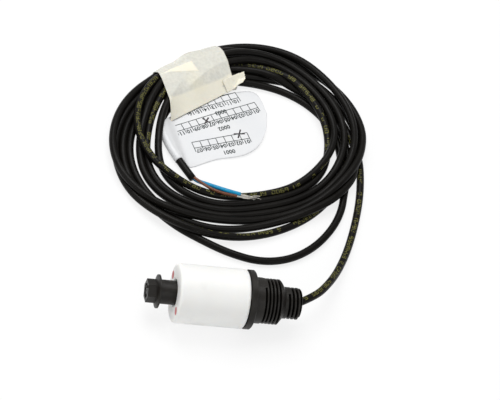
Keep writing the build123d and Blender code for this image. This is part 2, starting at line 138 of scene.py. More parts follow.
def rest_turns(goal, held, absent, ground, ceiling):
    """Distances and heights of the turns once they rest on each other.

    Each radial section holds one disc per turn. In each step the discs sink, slide back towards
    their own distance and follow their neighbours along the cable, and any two that are closer
    than a diameter are pushed apart. Later turns start higher, so they lie on top where they cross,
    and the tape's ceiling holds them down. In the last steps nothing sinks any more.
    """
    steps, last_steps = 700, 70
    sink, back, follow, last_follow, push_share = 0.0001, 0.05, 0.3, 0.1, 0.45
    distance = goal.copy()
    row = np.repeat(np.arange(rows), SECTIONS)
    height = CABLE_RADIUS * (1 + 2 * row)
    height[held] = CABLE_RADIUS
    distance[absent] = 1 + row[absent]
    start = distance.copy(), height.copy()
    fixed = held | absent
    same = np.eye(rows, dtype=bool)[:, :, None]
    for step in range(steps):
        ending = step > steps - last_steps
        height -= 0 if ending else sink
        distance += back * (goal - distance)
        for values, middle in ((height, 0), (distance, goal)):
            offset = values - middle
            bend = (np.roll(offset, 1) + np.roll(offset, -1)) / 2 - offset
            values += (last_follow if ending else follow) * bend
        distance[fixed], height[fixed] = start[0][fixed], start[1][fixed]
        d, h = distance.reshape(rows, SECTIONS), height.reshape(rows, SECTIONS)
        across, above = d[:, None] - d[None], h[:, None] - h[None]
        apart = np.hypot(across, above) + 1e-9
        push = np.where(same, 0, np.clip(2 * CABLE_RADIUS / apart - 1, 0, 1)) * push_share
        distance += (push * across).sum(1).ravel()
        height += (push * above).sum(1).ravel()
        height = np.clip(height, np.tile(ground, rows), np.tile(ceiling, rows))
        distance[fixed], height[fixed] = start[0][fixed], start[1][fixed]
    return distance, height


turn_distance, turn_height = rest_turns(wanted, held, absent, ground, ceiling)


def winding_points(first, last):
    """Points of the winding with angles from first to last, in degrees: centre + distance (cos, sin)."""
    chosen = (winding_angle > np.radians(first)) & (winding_angle < np.radians(last))
    angle, distance = winding_angle[chosen], turn_distance[chosen]
    x = COIL_CENTRE[0] + distance * np.cos(angle)
    y = COIL_CENTRE[1] + distance * np.sin(angle)
    return list(map(tuple, np.column_stack([x, y, turn_height[chosen]])))


LAST_TURN = 360 * (len(TURNS) - 1)
cable_route = (
    LEAD_ROUTE
    + winding_points(LEAD_END, LOOP_START)
    + LOOP_ROUTE[::-1]
    + winding_points(LOOP_END, LAST_TURN + TAIL_START)
    + TAIL_ROUTE
)
ROUTE_STEPS = 8


def nurbs_line(route, steps=ROUTE_STEPS):
    """Points along a NURBS curve of order 3, in steps from each of its control points to the next."""
    curve = bpy.data.curves.new("route", "CURVE")
    curve.dimensions = "3D"
    curve.resolution_u = steps
    spline = curve.splines.new("NURBS")
    spline.points.add(len(route) - 1)
    spline.points.foreach_set("co", np.column_stack([route, np.ones(len(route))]).ravel())
    spline.order_u = 3
    spline.use_endpoint_u = True
    holder = bpy.data.objects.new("route", curve)
    line = bpy.data.meshes.new_from_object(holder)
    points = np.empty(len(line.vertices) * 3)
    line.vertices.foreach_get("co", points)
    bpy.data.objects.remove(holder)
    bpy.data.meshes.remove(line)
    return points.reshape(-1, 3)


def lengths_along(path):
    """Distance travelled at each point of a path."""
    return np.concatenate([[0], np.cumsum(np.linalg.norm(np.diff(path, axis=0), axis=1))])


def directions(path):
    """Unit vectors along a path, level across it, and square to both."""
    forward = np.gradient(path, axis=0)
    forward /= np.linalg.norm(forward, axis=1, keepdims=True)
    side = np.cross(forward, (0, 0, 1))
    side /= np.linalg.norm(side, axis=1, keepdims=True)
    return forward, side, np.cross(side, forward)


def grid_quads(rows, columns, closed):
    """Row, column and vertex number of each corner of a grid's quads: row * columns + column, where
    the column after the last one of a closed grid is the first again."""
    i, j = np.meshgrid(np.arange(rows - 1), np.arange(columns if closed else columns - 1), indexing="ij")
    row = np.stack([i, i + 1, i + 1, i], axis=-1)
    column = np.stack([j, j, j + 1, j + 1], axis=-1)
    return row, column, row * columns + column % columns


def add_piece(name, mesh):
    """Object of a mesh, at the origin, that rides on the sensor."""
    piece = bpy.data.objects.new(name, mesh)
    bpy.context.collection.objects.link(piece)
    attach(piece, "sensor")
    return piece


def tube(name, path, radius, sides=16, turned=0.0):
    """Closed round bar along a path.

    Its rings are centre + radius (cos a * side + sin a * up), with side level and across the
    path. The UV map has the length in metres along u, and along v a half plus the share of a full
    turn between a and the turned angle. Both ends are rounded off by a share of the radius.
    """
    rounding, rim_depth = 0.25, 0.7
    forward, side, up = directions(path)
    # One smaller ring more at each end makes the rounded rim
    shrink = rounding * radius
    rings = np.concatenate([[0], np.arange(len(path)), [len(path) - 1]])
    radii = np.full(len(rings), radius, dtype=float)
    radii[[0, -1]] -= shrink
    centre = path[rings]
    centre[1] += forward[0] * shrink * rim_depth
    centre[-2] -= forward[-1] * shrink * rim_depth
    a = np.arange(sides) / sides * FULL_TURN
    ring = np.cos(a)[None, :, None] * side[rings][:, None] + np.sin(a)[None, :, None] * up[rings][:, None]
    vertices = (centre[:, None] + radii[:, None, None] * ring).reshape(-1, 3)
    row, column, quads = grid_quads(len(rings), sides, True)
    last = (len(rings) - 1) * sides
    caps = [list(range(sides)), list(range(last + sides - 1, last - 1, -1))]
    mesh = bpy.data.meshes.new(name)
    mesh.from_pydata(vertices, [], quads.reshape(-1, 4).tolist() + caps)
    start_turn = np.broadcast_to(turned, len(path))[rings] / FULL_TURN
    uv = np.zeros((len(mesh.loops), 2))
    uv[:quads.size, 0] = lengths_along(path)[rings][row].ravel()
    uv[:quads.size, 1] = (column / sides - start_turn[row]).ravel() + 0.5
    mesh.uv_layers.new(name="UVMap").data.foreach_set("uv", uv.ravel())
    mesh.shade_smooth()
    return add_piece(name, mesh)


# Where the jacket's print faces, in degrees from the outside of the coil over its top, as the
# cable twists slowly along the winding
PRINT_AT = (-90, -25, 70, 560, 645, 690, 780, 1860, 1940, 1980, 2060, 2460, 2525, 2810, 2920, 3110)
PRINT_FACES = (95, 95, 250, 250, 80, 65, -60, -80, 95, 95, 260, 250, 110, 75, -60, -60)

cable_path = nurbs_line(cable_route)
cable_angle = np.degrees(np.unwrap(polar(cable_path)[0]))
print_turn = smoothed(np.interp(cable_angle, PRINT_AT, PRINT_FACES), 40)
cable = tube("cable", cable_path, CABLE_RADIUS, sides=20, turned=np.radians(print_turn))


class Nodes:
    """A node tree with short calls for adding and linking its nodes."""

    def __init__(self, tree):
        self.tree = tree

    def add(self, kind, settings=(), **inputs):
        """New node, its settings, and its inputs by name, each a value or another node's socket."""
        node = self.tree.nodes.new(kind)
        for key, value in dict(settings).items():
            setattr(node, key, value)
        for key, value in inputs.items():
            self.put(node.inputs[key.replace("_", " ")], value)
        return node

    def put(self, socket, value):
        """Links a socket, or sets its value."""
        if isinstance(value, bpy.types.NodeSocket):
            self.tree.links.new(value, socket)
        else:
            socket.default_value = value

    def math(self, operation, *values):
        """Result of a Math node on one to three numbers or sockets."""
        node = self.tree.nodes.new("ShaderNodeMath")
        node.operation = operation
        for socket, value in zip(node.inputs, values):
            self.put(socket, value)
        return node.outputs[0]

    def blend(self, share, low, high):
        """Colour between low and high by a share."""
        node = self.add("ShaderNodeMix", {"data_type": "RGBA"})
        for socket, value in zip((node.inputs[0], node.inputs[6], node.inputs[7]), (share, low, high)):
            self.put(socket, value)
        return node.outputs[2]

    def noise(self, scale, detail=3.0, vector=None):
        """Grey noise of a scale, on Object coordinates unless another vector is given."""
        vector = vector or self.add("ShaderNodeTexCoord").outputs["Object"]
        node = self.add("ShaderNodeTexNoise", Vector=vector, Scale=scale, Detail=detail)
        return node.outputs["Fac"]

    def between(self, value, low, high, new_low, new_high):
        """Value mapped from one range to another, held at its ends."""
        node = self.tree.nodes.new("ShaderNodeMapRange")
        for socket, number in zip(node.inputs, (value, low, high, new_low, new_high)):
            self.put(socket, number)
        return node.outputs[0]

    def bump(self, height, depth, strength=1.0, **under):
        """Normal from a height of 0 to 1 that stands for a depth in metres, over another Normal if given."""
        node = self.add("ShaderNodeBump", Height=height, Distance=depth, Strength=strength, **under)
        return node.outputs["Normal"]


def effect(name, inputs, outputs):
    """Empty shader node group with named inputs, as name to default, and outputs, as name to kind."""
    group = bpy.data.node_groups.new(name, "ShaderNodeTree")
    for key, value in inputs.items():
        kind = {3: "NodeSocketVector", 4: "NodeSocketColor"}.get(np.size(value), "NodeSocketFloat")
        socket = group.interface.new_socket(key, in_out="INPUT", socket_type=kind)
        if np.size(value) != 3:
            socket.default_value = value
    for key, kind in outputs.items():
        group.interface.new_socket(key, in_out="OUTPUT", socket_type=kind)
    n = Nodes(group)
    return group, n, n.add("NodeGroupInput").outputs, n.add("NodeGroupOutput").inputs


def placed(n, group, **inputs):
    """Outputs of a node group placed in a material."""
    node = n.tree.nodes.new("ShaderNodeGroup")
    node.node_tree = group
    for key, value in inputs.items():
        n.put(node.inputs[key.replace("_", " ")], value)
    return node.outputs


def material(name):
    """New material, its nodes and its Principled shader."""
    made = bpy.data.materials.new(name)
    made.use_nodes = True
    return made, Nodes(made.node_tree), made.node_tree.nodes["Principled BSDF"]


def surface_finish():
    """Group for every plain finish: the colour drifts between two tones, fine dust lightens it, and
    grain gives the roughness and the bump."""
    group, n, given, out = effect(
        "surface_finish",
        {"Tone": (0.5, 0.5, 0.5, 1), "Second Tone": (0.4, 0.4, 0.4, 1), "Patch Scale": 400.0,
         "Grain Scale": 3000.0, "Grain Depth": 0.00001, "Smooth": 0.35, "Rough": 0.5, "Dust": 0.0},
        {"Color": "NodeSocketColor", "Roughness": "NodeSocketFloat", "Normal": "NodeSocketVector"},
    )
    patches = n.noise(given["Patch Scale"], 4.0)
    grain = n.noise(given["Grain Scale"], 2.0)
    tone = n.blend(n.between(patches, 0.35, 0.65, 0.0, 1.0), given["Tone"], given["Second Tone"])
    specks = n.between(n.noise(2600.0, 1.0), 0.68, 0.74, 0.0, 1.0)
    dusty = n.between(patches, 0.45, 0.6, 0.0, 1.0)
    dust = n.math("MULTIPLY", n.math("MULTIPLY", specks, dusty), given["Dust"])
    n.put(out["Color"], n.blend(dust, tone, (0.45, 0.43, 0.4, 1)))
    n.put(out["Roughness"], n.between(n.noise(240.0), 0.3, 0.7, given["Smooth"], given["Rough"]))
    n.put(out["Normal"], n.bump(grain, given["Grain Depth"]))
    return group


finish_group = surface_finish()


def finished(name, tone, second, **values):
    """Material of one plain finish, from surface_finish with the values that are its own."""
    made, n, shader = material(name)
    result = placed(n, finish_group, Tone=(*tone, 1), Second_Tone=(*second, 1), **values)
    n.put(shader.inputs["Base Color"], result["Color"])
    n.put(shader.inputs["Roughness"], result["Roughness"])
    n.put(shader.inputs["Normal"], result["Normal"])
    return made, n, shader, result


def jacket_print():
    """Group for the jacket's faint row of printed figures.

    Along the cable, cells of one pitch each hold strokes of a plain figure: three along and four
    across. White noise of the cell's number says which are there and which cells are gaps.
    """
    pitch, figure_height, stroke = 0.0026, 0.0021, 0.1
    stroke_chance, gap_chance = 0.66, 0.2
    group, n, given, out = effect("jacket_print", {"Vector": (0, 0, 0)}, {"Mask": "NodeSocketFloat"})
    split = n.add("ShaderNodeSeparateXYZ", Vector=given["Vector"]).outputs
    along = n.math("DIVIDE", split["X"], pitch)
    cell = n.math("FLOOR", along)
    x = n.math("SUBTRACT", along, cell)
    height = n.math("MULTIPLY", n.math("SUBTRACT", split["Y"], 0.5), FULL_TURN * CABLE_RADIUS / figure_height)
    y = n.math("ADD", height, 0.5)
    marks = 0.0
    # Each stroke's middle and half size, along and across, as shares of a figure
    strokes = [(0.45, place, 0.3, stroke) for place in (0.06, 0.5, 0.94)]
    strokes += [(side, place, stroke, 0.28) for place in (0.27, 0.73) for side in (0.14, 0.76)]
    for number, (centre_x, centre_y, half_x, half_y) in enumerate(strokes):
        inside_x = n.math("LESS_THAN", n.math("ABSOLUTE", n.math("SUBTRACT", x, centre_x)), half_x)
        inside_y = n.math("LESS_THAN", n.math("ABSOLUTE", n.math("SUBTRACT", y, centre_y)), half_y)
        chance = n.add("ShaderNodeTexWhiteNoise", {"noise_dimensions": "1D"},
                       W=n.math("ADD", cell, 0.37 + 101.3 * number)).outputs["Value"]
        there = n.math("LESS_THAN", chance, stroke_chance)
        marks = n.math("MAXIMUM", marks, n.math("MULTIPLY", n.math("MULTIPLY", inside_x, inside_y), there))
    gap = n.add("ShaderNodeTexWhiteNoise", {"noise_dimensions": "1D"}, W=cell).outputs["Value"]
    worn = n.between(n.noise(900.0, 2.0), 0.35, 0.6, 0.35, 1.0)
    shown = n.math("MULTIPLY", n.math("GREATER_THAN", gap, gap_chance), worn)
    n.put(out["Mask"], n.math("MULTIPLY", marks, shown))
    return group


def jacket_finish():
    """Black PVC: satin, with faint drawn lines along it and an olive print on one side."""
    made, n, shader, result = finished(
        "black_jacket", (0.0034, 0.0029, 0.0023), (0.0056, 0.0049, 0.004), Patch_Scale=45.0,
        Grain_Scale=1500.0, Smooth=0.3, Rough=0.44, Dust=0.03)
    shader.inputs["Specular IOR Level"].default_value = 0.11
    along = n.add("ShaderNodeTexCoord").outputs["UV"]
    stretched = n.add("ShaderNodeMapping", Vector=along, Scale=(60.0, 30.0, 1.0)).outputs[0]
    lines = n.noise(1.0, 2.0, stretched)
    mask = placed(n, jacket_print(), Vector=along)["Mask"]
    n.put(shader.inputs["Base Color"], n.blend(mask, result["Color"], (0.13, 0.125, 0.035, 1)))
    n.put(shader.inputs["Normal"], n.bump(lines, 0.00003, 0.6, Normal=result["Normal"]))
    return made


cable.data.materials.append(jacket_finish())
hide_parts("cable_lead", "cable_coil", "cable_loop", "cable_tail")


# Stripped cores
# Where the jacket is cut back, the brown and the blue core lie over the innermost turn. They are
# PVC on fine strands, and the blue one looks thicker: 2.2 mm, against 1.6 mm.
CORE_RADIUS = 0.00078
BLUE_CORE_RADIUS = CORE_RADIUS * 1.42
BROWN_ROUTE = [
    (-0.0096, 0.0872, 0.0025), (-0.0083, 0.0854, 0.0027), (-0.0066, 0.0835, 0.0029),
    (-0.0047, 0.0814, 0.0035), (-0.0021, 0.0787, 0.0042), (0.0015, 0.0755, 0.005),
    (0.0061, 0.0734, 0.0055), (0.0108, 0.0724, 0.0055), (0.0151, 0.072, 0.0054),
]
BLUE_ROUTE = [
    (-0.0088, 0.0868, 0.0014), (-0.0075, 0.085, 0.0015), (-0.0053, 0.0828, 0.0017),
    (-0.003, 0.0813, 0.0022), (0.0003, 0.0795, 0.0033), (0.0047, 0.077, 0.0047),
    (0.0092, 0.0751, 0.0055), (0.0135, 0.0739, 0.0057), (0.0171, 0.0732, 0.0056),
]


def core_finish(name, tone, second):
    """Satin PVC of one colour."""
    made, _, shader, _ = finished(name, tone, second, Patch_Scale=300.0, Smooth=0.28, Rough=0.4)
    shader.inputs["Specular IOR Level"].default_value = 0.3
    return made


brown_core = tube("stripped_brown_core", nurbs_line(BROWN_ROUTE), CORE_RADIUS)
brown_core.data.materials.append(core_finish("brown_insulation", (0.12, 0.04, 0.018), (0.17, 0.06, 0.028)))
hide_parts("brown_core")
blue_core = tube("stripped_blue_core", nurbs_line(BLUE_ROUTE), BLUE_CORE_RADIUS)
blue_core.data.materials.append(core_finish("blue_insulation", (0.0, 0.2, 0.4), (0.0, 0.27, 0.5)))
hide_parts("blue_core")


# Bare strands
# The last centimetre of each core is bare: fine tinned copper wires, a little splayed and
# twisted, and not all as long as each other.
WIRE_RADIUS = 0.00011
WIRES = 9
BROWN_WIRE_AXIS = [
    (0.0143, 0.072, 0.0054), (0.0173, 0.0719, 0.0053), (0.0205, 0.0716, 0.0052), (0.0244, 0.0724, 0.005),
]
BLUE_WIRE_AXIS = [
    (0.0163, 0.0736, 0.0055), (0.0189, 0.0729, 0.0054), (0.0222, 0.0722, 0.0052), (0.0281, 0.0717, 0.005),
]


def strands(name, axis, turns, spread):
    """Bundle of wires: each winds round the axis by some turns, on a radius that opens towards the end.

    Wire k starts at the angle k times the golden angle, and its distance from the axis grows with
    the square of the share of the length, by the share of the spread that k gives it. The bundle is
    flatter than it is wide, and k also says how much shorter than the axis the wire is.
    """
    packed, least_lean, most_cut, flatness = 0.62, 0.35, 0.28, 0.55
    path = nurbs_line(axis, 10)
    share = lengths_along(path) / lengths_along(path)[-1]
    _, side, up = directions(path)
    golden = np.pi * (3 - np.sqrt(5))
    wires = []
    for k in range(WIRES):
        angle = golden * k + turns * FULL_TURN * share
        lean = least_lean + (1 - least_lean) * ((k * 0.618) % 1)
        off = (CORE_RADIUS * packed * np.sqrt((k + 0.5) / WIRES) + spread * lean * share**2)[:, None]
        reach = 1 - most_cut * ((k * 0.382) % 1)
        points = path + off * (np.cos(angle)[:, None] * side + flatness * np.sin(angle)[:, None] * up)
        count = int(len(points) * reach)
        wires.append(tube(f"{name}_{k + 1}", points[:count], WIRE_RADIUS, sides=8))
    return wires


def join(pieces, name):
    """One piece from several, whose meshes are put together."""
    with bpy.context.temp_override(active_object=pieces[0], selected_editable_objects=pieces):
        bpy.ops.object.join()
    pieces[0].name = name
    pieces[0].data.name = name
    return pieces[0]


def wire_finish():
    """Tinned copper: a bright grey metal, dulled in patches."""
    made, _, shader, _ = finished(
        "tinned_wire", (0.72, 0.7, 0.66), (0.58, 0.54, 0.48), Patch_Scale=700.0, Grain_Scale=6000.0,
        Grain_Depth=0.000004, Smooth=0.25, Rough=0.45)
    shader.inputs["Metallic"].default_value = 0.85
    return made


tinned = wire_finish()
brown_strands = join(strands("brown_wire", BROWN_WIRE_AXIS, 0.6, 0.0011), "bare_brown_strands")
brown_strands.data.materials.append(tinned)
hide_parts("brown_strands")
blue_strands = join(strands("blue_wire", BLUE_WIRE_AXIS, -0.8, 0.0021), "bare_blue_strands")
blue_strands.data.materials.append(tinned)
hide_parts("blue_strands")


# Tape
# Cream crepe paper tape wound tightly round all the turns where they are pressed together. Its
# last stretch is stuck to itself as a flap that slopes down towards the label.
TAPE_WAY = np.radians(36.5)
TAPE_THICKNESS = 0.00022
TAPE_CLEARANCE = 0.0005
# Both ends of the tape's near and far edge, along the coil there, and its places across the coil
TAPE_NEAR_ENDS = (0.0585, 0.1035)
TAPE_FAR_ENDS = (0.0697, 0.1113)
FLAP_EDGE, FLAP_TOP, FAR_EDGE = 0.1072, 0.1158, 0.1364
FLAP_HEIGHT = 0.0012
along_tape = np.array([np.cos(TAPE_WAY), np.sin(TAPE_WAY)])
across_tape = np.array([-np.sin(TAPE_WAY), np.cos(TAPE_WAY)])


def turns_in_tape():
    """Where each turn crosses planes square to the tape: its places across and its heights, by plane."""
    margin, first, last = 0.004, 60, 200
    planes = np.linspace(TAPE_NEAR_ENDS[0] - margin, TAPE_FAR_ENDS[1] + margin, 60)
    places = []
    for turn in range(len(TURNS)):
        near = (cable_angle > 360 * turn + first) & (cable_angle < 360 * turn + last)
        points = cable_path[near][::-1]
        u = points[:, :2] @ along_tape
        order = np.argsort(u)
        w = points[:, :2] @ across_tape
        places.append([np.interp(planes, u[order], w[order]), np.interp(planes, u[order], points[order, 2])])
    return planes, np.array(places)


def from_tape(u, w, z):
    """Points (x, y, z) from their places along the coil and across it, and their heights."""
    return np.dstack([u[..., None] * along_tape + w[..., None] * across_tape, z])


tape_planes, crossing = turns_in_tape()


def tape_outline():
    """Closed outline of the tape in each plane, as (plane, across and up, point).

    In direction a, the furthest disc of radius r gives the point centre + r (cos a, sin a). The
    discs are the turns, one on the ground below the outermost of them and, for the flap, a small
    one at its edge. Below the flap the outline turns back along its underside and goes down the
    inner side of the turns.
    """
    planes = len(tape_planes)
    edge_radius = 0.0002
    edge = np.broadcast_to(np.array([FLAP_EDGE, FLAP_HEIGHT])[:, None], (1, 2, planes))
    foot = np.stack([crossing[:, 0].max(axis=0), crossing[:, 1].min(axis=0)])[None]
    discs = np.concatenate([crossing, foot, edge])
    radius = np.append(np.full(len(crossing) + 1, CABLE_RADIUS + TAPE_CLEARANCE), edge_radius)
    a = np.radians(np.linspace(-76, 235, 261))
    reach = (discs[:, 0, :, None] * np.cos(a) + discs[:, 1, :, None] * np.sin(a)) + radius[:, None, None]
    furthest = reach.argmax(axis=0)
    plane = np.arange(planes)[:, None]
    over = np.stack([discs[furthest, axis, plane] + radius[furthest] * ratio(a)
                     for axis, ratio in ((0, np.cos), (1, np.sin))], axis=1)
    inner = discs[:-1, 0].min(axis=0)
    top = discs[:-1, 1].max(axis=0) + CABLE_RADIUS
    slope = (top - FLAP_HEIGHT) / (inner - FLAP_EDGE)
    # Seven points below: the flap's edge, its slope, and five down beside the innermost turns
    under = np.empty((planes, 2, 7))
    under[:, 0, 0] = FLAP_EDGE + 0.0006
    under[:, 0, 1:] = inner[:, None] + (-0.0052, -0.0034, -0.0026, -0.0022, -0.0015, 0.0005)
    under[:, 1, 0] = 0.001
    under[:, 1, 1] = 0.0009 + slope * (inner - 0.0062 - FLAP_EDGE)
    under[:, 1, 2:] = (0.0037, 0.0026, 0.0012, 0.0004, 0.0002)
    return over, under


def evenly(line, count):
    """Points spaced evenly along a line of (across, up) points."""
    travelled = lengths_along(line.T)
    spots = np.linspace(0, travelled[-1], count)
    return np.stack([np.interp(spots, travelled, line[0]), np.interp(spots, travelled, line[1])])


def ripple(x, y, seed):
    """Sum of six sines, from about -1 to 1, as soft creases in paper: each next one is finer,
    weaker and turned by 2.4 radians."""
    total = np.zeros_like(x)
    for k in range(6):
        way = seed + 2.4 * k
        wave = 90 * 1.45**k
        total += np.sin((x * np.cos(way) + y * np.sin(way)) * wave + 1.7 * k * seed) / (1 + 0.6 * k)
    return total / 2.6


OVER_POINTS = 180
UNDER_POINTS = 40
LENGTH_STEPS = 100
# Corners of the triangle where the tape is turned back over itself, along the coil and across it. It stands a
# little higher and gets a painted highlight.
FOLD = [(0.0695, 0.1311), (0.0893, 0.1296), (0.0886, 0.1226)]


def in_triangle(x, y, corners, soft):
    """1 inside a triangle and 0 outside, over a soft width: least distance to its three edges."""
    least = np.full(x.shape, np.inf)
    for (ax, ay), (bx, by) in zip(corners, corners[1:] + corners[:1]):
        run = np.hypot(bx - ax, by - ay)
        least = np.minimum(least, ((x - ax) * (by - ay) - (y - ay) * (bx - ax)) / run)
    return np.clip(least / soft + 0.5, 0, 1)


def tape_surface():
    """Sleeve of tape, (u, v, 3), and the share of painted highlight at each point, full on the fold's
    triangle and less on the flap: u runs along the coil.
    """
    crease, fold_height, soft, least_height, flap_highlight = 0.00018, 0.0003, 0.0006, 0.00023, 0.75
    over, under = tape_outline()
    rings = []
    for plane in range(len(tape_planes)):
        low = nurbs_line([(*point, 0) for point in under[plane].T])[:, :2].T
        rings.append(np.hstack([evenly(over[plane], OVER_POINTS), evenly(low, UNDER_POINTS + 1)[:, 1:]]))
    rings = smoothed(np.array(rings), 2)
    count = rings.shape[2]
    across = rings[len(rings) // 2, 0]
    share = np.clip((across - FLAP_EDGE) / (FAR_EDGE - FLAP_EDGE), 0, 1)
    left = np.interp(share, (0, 1), (TAPE_NEAR_ENDS[0], TAPE_FAR_ENDS[0]))
    right = np.interp(share, (0, 1), (TAPE_NEAR_ENDS[1], TAPE_FAR_ENDS[1]))
    step = np.linspace(0, 1, LENGTH_STEPS)[:, None]
    u = left[None] * (1 - step) + right[None] * step
    v = np.broadcast_to(np.arange(count), u.shape)
    place = np.interp(u, tape_planes, np.arange(len(tape_planes)))
    low = np.clip(place.astype(int), 0, len(tape_planes) - 2)
    part = place - low
    w = rings[low, 0, v] * (1 - part) + rings[low + 1, 0, v] * part
    z = rings[low, 1, v] * (1 - part) + rings[low + 1, 1, v] * part
    upper = v < OVER_POINTS
    top = np.clip((z - 0.003) / 0.003, 0, 1) * upper
    fold = in_triangle(u, w, FOLD, soft) * top
    z = z + top * crease * (1 + ripple(u, w * 0.6, 0.7)) + fold * fold_height
    z = np.maximum(z, least_height)
    flap = np.clip((FLAP_TOP - w - 0.06 * (u - 0.08)) / (2 * soft), 0, 1) * upper
    # The second value is painted highlight: full on the fold's triangle, three quarters on the flap.
    return from_tape(u, w, z), np.maximum(fold, flap_highlight * flap)


def grid_mesh(name, points, closed_v=False):
    """Mesh of a grid of points, (u, v, 3), with quads, and UVs that are its two shares."""
    rows_u, rows_v = points.shape[:2]
    row, column, quads = grid_quads(rows_u, rows_v, closed_v)
    mesh = bpy.data.meshes.new(name)
    mesh.from_pydata(points.reshape(-1, 3), [], quads.reshape(-1, 4).tolist())
    uv = np.stack([row / (rows_u - 1), column / quads.shape[1]], axis=-1)
    mesh.uv_layers.new(name="UVMap").data.foreach_set("uv", uv.ravel())
    mesh.shade_smooth()
    return mesh


def thicken(piece, thickness, offset):
    """Gives a sheet its thickness: offset 1 is outwards along its normals and -1 inwards."""
    solid = piece.modifiers.new("thickness", "SOLIDIFY")
    solid.thickness = thickness
    solid.offset = offset


def paper_tape_finish():
    """Crepe paper: fine wrinkles across the tape, cream mottling, a little light through it, and a painted
    highlight of lighter cream on the fold's triangle and the flap.
    """
    made, n, shader, result = finished(
        "crepe_paper", (0.6, 0.595, 0.54), (0.67, 0.66, 0.59), Patch_Scale=80.0, Grain_Scale=1800.0,
        Grain_Depth=0.00006, Smooth=0.55, Rough=0.75, Dust=0.02)
    uv = n.add("ShaderNodeTexCoord").outputs["UV"]
    crepe = n.noise(1.0, 3.0, n.add("ShaderNodeMapping", Vector=uv, Scale=(14.0, 150.0, 1.0)).outputs[0])
    stained = n.between(n.noise(34.0, 5.0), 0.6, 0.76, 0.0, 0.3)
    # Painted highlight: this share turns the fold's triangle and the flap a lighter cream.
    bright = n.add("ShaderNodeAttribute", {"attribute_name": "fold_highlight"}).outputs["Fac"]
    mottled = n.between(n.noise(620.0, 4.0), 0.4, 0.62, 0.0, 0.5)
    paper = n.blend(mottled, result["Color"], (0.52, 0.515, 0.46, 1))
    tone = n.blend(bright, paper, (0.8, 0.765, 0.64, 1))
    n.put(shader.inputs["Base Color"], n.blend(stained, tone, (0.7, 0.64, 0.42, 1)))
    n.put(shader.inputs["Normal"], n.bump(crepe, 0.00012, 0.7, Normal=result["Normal"]))
    shader.inputs["Subsurface Weight"].default_value = 0.15
    shader.inputs["Subsurface Radius"].default_value = (0.002, 0.0015, 0.001)
    return made


def loose_end():
    """End of the flap, (u, v, 3): it goes on from the slope and rises over the innermost turns.

    It narrows with the square of the share of its length, and its end is torn a little unevenly.
    """
    lower, upper, start = 0.1066, 0.1128, 0.0985
    narrowing, slope, rise, torn, wrinkle, over_turns = 0.0016, 0.62, 0.0019, 0.00025, 0.00015, 0.0046
    across = np.linspace(lower, upper, 16)[None]
    share = np.linspace(0, 1, 30)[:, None]
    end = np.interp(across, (lower, 0.1086, upper), (0.1086, 0.1118, 0.1126))
    end = end + torn * np.sin(across * 4200)
    u = start * (1 - share) + end * share
    w = across - narrowing * share**2 * (across - lower) / (upper - lower)
    z = 0.0019 + slope * (w - FLAP_EDGE) + rise * share**1.3 + wrinkle * np.sin(u * 1900 + w * 300)
    z = np.maximum(z, over_turns * np.clip(2 * share - 0.4, 0, 1))
    return from_tape(u, w, z)


tape_points, tape_fold_highlight = tape_surface()
crepe_paper = paper_tape_finish()
sleeve = add_piece("tape_sleeve", grid_mesh("tape_sleeve", tape_points, closed_v=True))
sleeve.data.attributes.new("fold_highlight", "FLOAT", "POINT").data.foreach_set("value", tape_fold_highlight.ravel())
flap_end = add_piece("tape_end", grid_mesh("tape_end", loose_end()))
# The loose end gets most of the painted highlight too.
flap_end.data.attributes.new("fold_highlight", "FLOAT", "POINT").data.foreach_set(
    "value", np.full(len(flap_end.data.vertices), 0.8))
tape = join([sleeve, flap_end], "tape_sleeve")
thicken(tape, TAPE_THICKNESS, 1)
tape.data.materials.append(crepe_paper)
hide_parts("tape_wrap")


# Label
# White paper flag, folded round the cable's tail and lying inside the coil. It carries three
# rows of boxes with plain numbers, of which two are crossed by hand.
LABEL_THICKNESS = 0.0003
LOWER_EDGE = [(-0.0135, 0.0945), (-0.0098, 0.0918), (-0.0064, 0.0916), (0.0005, 0.0955), (0.0084, 0.0992),
              (0.0166, 0.1008), (0.0243, 0.1038), (0.0305, 0.1094), (0.0342, 0.1165), (0.0358, 0.1231)]
UPPER_EDGE = [(-0.0197, 0.1195), (-0.016, 0.1262), (-0.0088, 0.1315), (-0.003, 0.1352), (0.0055, 0.1397),
              (0.0127, 0.1432), (0.0205, 0.1462), (0.0285, 0.1482), (0.034, 0.1452), (0.0368, 0.1327)]


def label_height(x, y):
    """Height of the lying paper: a little above the ground, with soft waves and a raised far end,
    and held down under the tape's flap."""
    rest, wave_height, far_height = 0.00035, 0.00035, 0.0012
    wave = np.sin((x * 0.9 + y * 0.43 - 0.05) * 95)
    far = np.clip((x - 0.018) / 0.02, 0, 1)
    across = y * np.cos(TAPE_WAY) - x * np.sin(TAPE_WAY)
    free = np.clip((FLAP_EDGE - across) / 0.006, 0, 1)
    return rest + free * (wave_height * (1 + wave) + far_height * far**2)


